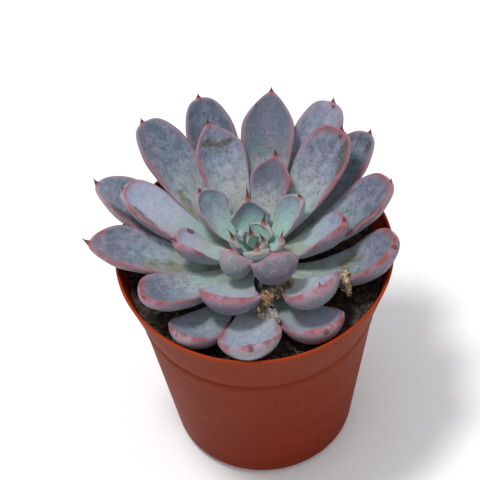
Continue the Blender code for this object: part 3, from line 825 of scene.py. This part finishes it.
def add_leaf(leaf, number, points, faces, values):
    frames = spine(leaf)
    cuts = [cut_blade(leaf, frames, 1 - (1 - k / BLADE_RINGS) ** RINGS_TO_TIP)
            for k in range(BLADE_RINGS + 1)]
    cuts += cut_point(leaf, frames[-1])
    rings = []
    walked_along = [0] * (UPPER_POINTS + LOWER_POINTS)
    for cut in cuts:
        swell = LEAF_WAVE * min(1, 3 * cut.share) * ramp(cuts[-1].at - cut.at, 0, STILL_END)
        ring = []
        for across, height, _, _ in cut.outline:
            wave = noise.noise(Vector((across * WAVES_ACROSS, cut.at * WAVES_ALONG,
                                       number * 7.3)))
            ring.append(cut.middle + cut.side * across + cut.up * (height + swell * wave))
        if rings:
            walked_along = [walked + (p - q).length
                            for walked, p, q in zip(walked_along, ring, rings[-1])]
        rings.append(ring)
        add_values(values, leaf, number, cut, ring, walked_along)
    add_rings(rings, points, faces)


def make_leaf_piece(node, leaves, first_number, material, slot):
    """A piece for one leaf, or for several that have grown together."""
    points, faces = [], []
    values = {key: [] for key in LEAF_VALUES}
    for number, leaf in enumerate(leaves, start=first_number):
        add_leaf(leaf, number, points, faces, values)
    make_piece(f"fine_{node}", points, faces, material, slot, [node], **values)


def make_leaves(material):
    for number, leaf in enumerate(LEAVES, start=1):
        make_leaf_piece(f"leaf_{number:02d}", [leaf | LOOKS[number]], number, material, "leaf")
    make_leaf_piece("heart", HEART_LEAVES, len(LEAVES) + 1, material, "young_leaf")


def wall_radius(height):
    """Outer radius of the pot between its rounded foot and its rim."""
    if height >= KINK_HEIGHT:
        share = (height - KINK_HEIGHT) / (POT_HEIGHT - KINK_HEIGHT)
        return KINK_RADIUS + (RIM_RADIUS - KINK_RADIUS) * share
    share = height / KINK_HEIGHT
    return BASE_RADIUS + (KINK_RADIUS - BASE_RADIUS) * share


def pot_outside():
    """The outer profile from the middle of the floor up to the rim, as (radius, height)."""
    profile = [(0, 0), (FOOT_FLAT, 0)]
    for k in range(1, 10):
        turn = radians(10 * k)
        height = FOOT_ROUNDING * (1 - cos(turn))
        profile.append((wall_radius(height) - FOOT_ROUNDING * (1 - sin(turn)), height))
    wall_top = KINK_HEIGHT - 1.8
    for k in range(1, WALL_STEPS + 1):
        height = FOOT_ROUNDING + (wall_top - FOOT_ROUNDING) * k / WALL_STEPS
        bead = BEAD_OUT * exp(-((height - BEAD_HEIGHT) / BEAD_REACH) ** 2)
        profile.append((wall_radius(height) + bead, height))
    profile += [
        (KINK_RADIUS - STEP, KINK_HEIGHT - 2 * STEP - 0.3),
        (KINK_RADIUS - STEP, KINK_HEIGHT - 2 * STEP + 0.2),
        (KINK_RADIUS - 0.2, KINK_HEIGHT - 0.25),
        (KINK_RADIUS, KINK_HEIGHT + 0.15),
    ]
    collar_top = POT_HEIGHT - 2 * LIP_ROUNDING
    to_lip = RIM_RADIUS - 0.2 - wall_radius(collar_top)
    for k in range(1, COLLAR_STEPS + 1):
        share = k / COLLAR_STEPS
        height = KINK_HEIGHT + (collar_top - KINK_HEIGHT) * share
        profile.append((wall_radius(height) + to_lip * share, height))
    return profile


def pot_inside():
    """The inner profile from the rounded lip down to the middle of the floor."""
    profile = []
    for k in range(LIP_STEPS + 1):
        turn = radians(200 * k / LIP_STEPS)
        profile.append((RIM_RADIUS - LIP_ROUNDING * (1 - cos(turn)),
                        POT_HEIGHT - LIP_ROUNDING * (1 - sin(turn))))
    for top, bottom, steps in ((POT_HEIGHT - 1.4, KINK_HEIGHT, 12),
                               (KINK_HEIGHT, FLOOR + FOOT_ROUNDING, 10)):
        for k in range(1, steps + 1):
            height = top - (top - bottom) * k / steps
            profile.append((wall_radius(height) - WALL, height))
    profile += [
        (FOOT_FLAT + 1.4, FLOOR + 1),
        (FOOT_FLAT, FLOOR),
        (0, FLOOR),
    ]
    return profile


def revolve(profile, sides):
    """Turn a profile of (radius, height) round Z. Radius 0 makes one point on the axis."""
    points, rings = [], []
    for radius, height in profile:
        if radius == 0:
            rings.append([len(points)])
            points.append((0, 0, height))
            continue
        rings.append(list(range(len(points), len(points) + sides)))
        for k in range(sides):
            angle = 2 * pi * k / sides
            points.append((radius * cos(angle), radius * sin(angle), height))
    faces = []
    for lower, upper in zip(rings, rings[1:]):
        for k in range(sides):
            n = (k + 1) % sides
            if len(lower) == 1:
                faces.append((lower[0], upper[n], upper[k]))
            elif len(upper) == 1:
                faces.append((lower[k], lower[n], upper[0]))
            else:
                faces.append((lower[k], lower[n], upper[n], upper[k]))
    return points, faces


def cut_drain_holes(pot):
    cutters = bmesh.new()
    for k in range(DRAIN_HOLES):
        angle = 2 * pi * (k + 0.5) / DRAIN_HOLES
        place = Matrix.Translation(Vector((cos(angle), sin(angle), 0)) * DRAIN_CIRCLE * MM)
        bmesh.ops.create_cone(cutters, cap_ends=True, segments=48, depth=6 * FLOOR * MM,
                              radius1=DRAIN_RADIUS * MM, radius2=DRAIN_RADIUS * MM, matrix=place)
    mesh = bpy.data.meshes.new("drain_cutter")
    cutters.to_mesh(mesh)
    cutters.free()
    cutter = add_object("drain_cutter", mesh)
    cut = pot.modifiers.new("drain holes", "BOOLEAN")
    cut.operation = "DIFFERENCE"
    cut.object = cutter
    evaluated = pot.evaluated_get(bpy.context.evaluated_depsgraph_get())
    cut_mesh = bpy.data.meshes.new_from_object(evaluated)
    pot.modifiers.clear()
    pot.data = cut_mesh
    pot.data.set_sharp_from_angle(angle=radians(50))
    bpy.data.objects.remove(cutter, do_unlink=True)


def make_pot(material):
    outside, inside = pot_outside(), pot_inside()
    points, faces = revolve(outside + inside, POT_SIDES)
    lit_from = 1 + (len(outside) - 1 + LIT_FROM) * POT_SIDES
    within = [0 if k < lit_from else 1 for k in range(len(points))]
    height = [p[2] for p in points]
    pot = make_piece("fine_pot", points, faces, material, "pot_plastic", ["pot"],
                     inside=within, height=height)
    cut_drain_holes(pot)


def soil_edge():
    return wall_radius(SOIL_EDGE_HEIGHT) - WALL - SOIL_GAP


def soil_height(x, y):
    """Height of the soil's lumpy top."""
    share = min(1, sqrt(x * x + y * y) / soil_edge())
    height = SOIL_CENTRE_HEIGHT + (SOIL_EDGE_HEIGHT - SOIL_CENTRE_HEIGHT) * share ** 4
    here = Vector((x, y, 0))
    lumps = sum(size * noise.noise(here * per_mm) for size, per_mm in SOIL_LUMPS)
    return height + lumps * min(1, 8 * (1.02 - share))


def make_soil(material):
    edge = soil_edge()
    profile = [
        (0, SOIL_BOTTOM),
        (FOOT_FLAT, SOIL_BOTTOM),
        (wall_radius(KINK_HEIGHT) - WALL - 2 * SOIL_GAP, KINK_HEIGHT - 2),
        (edge, SOIL_EDGE_HEIGHT),
    ]
    top_from = 1 + (len(profile) - 1) * SOIL_SIDES
    for k in range(1, SOIL_TOP_RINGS + 1):
        radius = edge + (STEM_HOLE - edge) * k / SOIL_TOP_RINGS
        profile.append((radius, SOIL_CENTRE_HEIGHT))
    profile += [(STEM_HOLE, STEM_HOLE_DEPTH), (0, STEM_HOLE_DEPTH)]
    points, faces = revolve(profile, SOIL_SIDES)
    for k in range(top_from, top_from + SOIL_TOP_RINGS * SOIL_SIDES):
        x, y, _ = points[k]
        points[k] = (x, y, soil_height(x, y))
    make_piece("fine_soil", points, faces, material, "soil", ["soil"])


def scatter(inner, outer):
    """A random place between two distances from the axis, as (x, y)."""
    radius = sqrt(random.uniform(inner ** 2, outer ** 2))
    angle = random.uniform(0, 2 * pi)
    return radius * cos(angle), radius * sin(angle)


def make_crumbs(material):
    """Loose lumps of peat on the soil."""
    random.seed(11)
    points, faces = [], []
    pattern = bmesh.new()
    bmesh.ops.create_icosphere(pattern, subdivisions=2, radius=1)
    shape = [v.co.copy() for v in pattern.verts]
    shape_faces = [tuple(v.index for v in f.verts) for f in pattern.faces]
    pattern.free()
    for _ in range(CRUMBS):
        x, y = scatter(*CRUMB_RING)
        size = random.choice(CRUMB_SIZES)
        stretch = [random.uniform(0.7, 1.3) for _ in range(3)]
        seat = Vector((x, y, soil_height(x, y) + 0.2 * size))
        offset = Vector((random.uniform(0, 50), random.uniform(0, 50), 0))
        faces += [tuple(len(points) + k for k in face) for face in shape_faces]
        for co in shape:
            bulge = 1 + 0.45 * noise.noise(co * 1.7 + offset)
            stretched = Vector([a * b for a, b in zip(co, stretch)])
            points.append(seat + stretched * size * bulge)
    make_piece("soil_crumbs", points, faces, material, "soil")


def add_fibre(path, radius, points, faces):
    """A thin tube along a path, tapering at both ends."""
    rings = []
    for k, place in enumerate(path):
        ahead = path[min(k + 1, len(path) - 1)] - path[max(k - 1, 0)]
        across = ahead.cross(Vector((0.3, 0.2, 1))).normalized()
        up = ahead.cross(across).normalized()
        thin = radius * (0.35 + 0.65 * sin(pi * (k + 0.5) / len(path)))
        angles = [2 * pi * s / FIBRE_SIDES for s in range(FIBRE_SIDES)]
        rings.append([place + (across * cos(angle) + up * sin(angle)) * thin for angle in angles])
    return add_rings(rings, points, faces)


def make_fibres(material):
    """Thin roots and peat fibres lying on the soil."""
    random.seed(23)
    points, faces, part = [], [], []
    for _ in range(FIBRES):
        place = Vector((*scatter(*FIBRE_RING), 0))
        heading = random.uniform(0, 2 * pi)
        turn = random.uniform(-0.35, 0.35)
        lift = random.uniform(0, 1.2)
        path = []
        steps = random.randint(6, 14)
        for k in range(steps):
            arch = lift * sin(pi * k / (steps - 1))
            height = soil_height(place.x, place.y) + 0.25 + arch
            path.append(Vector((place.x, place.y, height)))
            heading += turn + random.uniform(-0.3, 0.3)
            place += Vector((cos(heading), sin(heading), 0)) * FIBRE_STRIDE
            if place.length > FIBRE_END:
                break
        if len(path) < 4:
            continue
        added = add_fibre(path, random.uniform(0.07, 0.2), points, faces)
        part += [random.random()] * added
    make_piece("soil_fibres", points, faces, material, "soil", part=part)


def husk(rings, across, seed, sides, fineness, ragged, ripple=0):
    """Points and faces of a rough body through these rings, which may ripple like a dry sheet."""
    places = [Vector(place) for place, _, _ in rings]
    made = []
    for step in range((len(rings) - 1) * fineness + 1):
        exact = step / fineness
        k = min(len(rings) - 2, int(exact))
        part = exact - k
        place = places[k].lerp(places[k + 1], part)
        wide, thick = (a + (b - a) * part for a, b in zip(rings[k][1:], rings[k + 1][1:]))
        up = (places[k + 1] - places[k]).cross(across).normalized()
        ring = []
        for s in range(sides):
            angle = 2 * pi * s / sides
            spot = Vector((cos(angle) * 1.6, sin(angle) * 1.6, exact * 1.3 + seed))
            rough = 1 + ragged * noise.noise(spot) + 0.6 * ragged * noise.noise(spot * 2.7)
            fold = ripple * noise.noise(Vector((cos(angle) * wide * 0.8, exact * 0.9, seed)))
            ring.append(place + across * cos(angle) * wide * rough
                        + up * (sin(angle) * thick * rough + fold))
        made.append(ring)
    points, faces = [], []
    add_rings(made, points, faces)
    return points, faces


def add_shards(points, faces, rusty, centre, spread, count, size):
    """Small curled scraps of dry skin scattered in a ball round centre."""
    for _ in range(count):
        aim = Vector([random.gauss(0, 1) for _ in range(3)]).normalized()
        place = Vector(centre) + Vector([random.gauss(0, 0.5) * s for s in spread])
        side = aim.cross(Vector((0.1, 0.9, 0.3))).normalized()
        up = aim.cross(side)
        length = size * random.uniform(0.5, 1.5)
        wide = length * random.uniform(0.15, 0.4)
        rings = []
        for k in range(SHARD_RINGS):
            t = k / (SHARD_RINGS - 1)
            middle = place + aim * length * (t - 0.5) + up * length * 0.5 * (t - 0.5) ** 2
            half = wide * (0.25 + sin(pi * (0.15 + 0.7 * t)))
            rings.append([middle + side * half, middle + up * 0.09, middle - side * half,
                          middle - up * 0.09])
        added = add_rings(rings, points, faces)
        rusty += [0.7 * random.random()] * added


def make_dried_stalk(material):
    """The ragged dried stalk, and the loose straw round it."""
    random.seed(5)
    points, faces = husk(STALK, STALK_ACROSS, seed=3, sides=28, fineness=7, ragged=0.55)
    rusty = [0.8 * k / len(points) for k in range(len(points))]
    for place, wide, thick in STALK[1:]:
        spread = (1.7 * wide, 1.7 * wide, thick)
        add_shards(points, faces, rusty, place, spread, *STALK_SHARDS)
    for place, spread in STRAW:
        add_shards(points, faces, rusty, place, spread, *STRAW_SHARDS)
    make_piece("fine_dried_stalk", points, faces, material, "dry_husk", ["dried_stalk"],
               rusty=rusty)


def make_dried_flake(material):
    random.seed(8)
    points, faces = husk(FLAKE, FLAKE_ACROSS, seed=9, sides=20, fineness=6, ragged=0.5)
    rusty = [0.35] * len(points)
    for place, wide, thick in FLAKE[1:]:
        add_shards(points, faces, rusty, place, (wide, wide, thick), *FLAKE_SHARDS)
    make_piece("fine_dried_flake", points, faces, material, "dry_husk", ["dried_flake"],
               rusty=rusty)


def make_peeling_skin(material):
    """A lifted scrap of dead leaf skin on the front leaf."""
    points, faces = husk(PEEL, PEEL_ACROSS, seed=4, sides=36, fineness=8, ragged=0.35,
                         ripple=PEEL_RIPPLE)
    rusty = [-1] * len(points)
    make_piece("peeling_skin", points, faces, material, "dry_husk", rusty=rusty)


def make_stage():
    half = STUDIO_FLOOR / 2 * MM
    mesh = bpy.data.meshes.new("floor")
    mesh.from_pydata([(-half, -half, 0), (half, -half, 0), (half, half, 0), (-half, half, 0)],
                     [], [(0, 1, 2, 3)])
    mesh.materials.append(make_floor_material())
    floor = add_object("floor", mesh)


def make_lights():
    world = bpy.data.worlds.new("studio")
    world.use_nodes = True
    sky = world.node_tree.nodes["Background"]
    sky.inputs["Color"].default_value = SKY_COLOUR
    sky.inputs["Strength"].default_value = SKY
    bpy.context.scene.world = world
    bpy.context.scene.view_settings.view_transform = "Standard"
    light = bpy.data.lights.new("key", "AREA")
    light.size = KEY_SIZE * MM
    light.energy = KEY_WATTS
    light.color = KEY_COLOUR
    lamp = add_object("key", light)
    lamp.location = Vector(KEY_PLACE) * MM
    aim = Vector(KEY_AIM) - Vector(KEY_PLACE)
    lamp.rotation_euler = aim.to_track_quat("-Z", "Y").to_euler()


def make_camera():
    elevation = radians(CAMERA_ELEVATION)
    place = Vector((0, -CAMERA_DISTANCE * cos(elevation),
                    POT_HEIGHT + CAMERA_DISTANCE * sin(elevation)))
    ahead = (Vector((0, 0, CAMERA_TARGET_HEIGHT)) - place).normalized()
    right = Vector((1, 0, 0))
    up = right.cross(ahead)
    turn = (Matrix.Rotation(radians(CAMERA_YAW), 3, up)
            @ Matrix.Rotation(radians(CAMERA_PITCH), 3, right))
    ahead, right, up = turn @ ahead, turn @ right, turn @ up
    roll = Matrix.Rotation(radians(CAMERA_ROLL), 3, ahead)
    right, up = roll @ right, roll @ up
    camera_data = bpy.data.cameras.new("camera")
    camera_data.sensor_width = SENSOR_WIDTH
    camera_data.lens = FOCAL_PIXELS / PICTURE_SIDE * SENSOR_WIDTH
    camera_data.clip_start = 0.05
    camera = add_object("camera", camera_data)
    axes = Matrix((right, up, -ahead)).transposed()
    camera.matrix_world = Matrix.Translation(place * MM) @ axes.to_4x4()
    bpy.context.scene.camera = camera


def dress_stem(material):
    """The stem keeps its model's shape and gets bark."""
    stem = frame["nodes"]["stem"]
    stem.data.materials.clear()
    stem.data.materials.append(material)


def main():
    make_camera()
    make_lights()
    make_stage()
    make_leaves(make_leaf_material())
    make_pot(make_pot_material())
    soil = make_soil_material()
    make_soil(soil)
    make_crumbs(soil)
    make_fibres(make_fibre_material())
    dress_stem(make_stem_material())
    husk = make_husk_material()
    make_dried_stalk(husk)
    make_dried_flake(husk)
    make_peeling_skin(husk)


main()
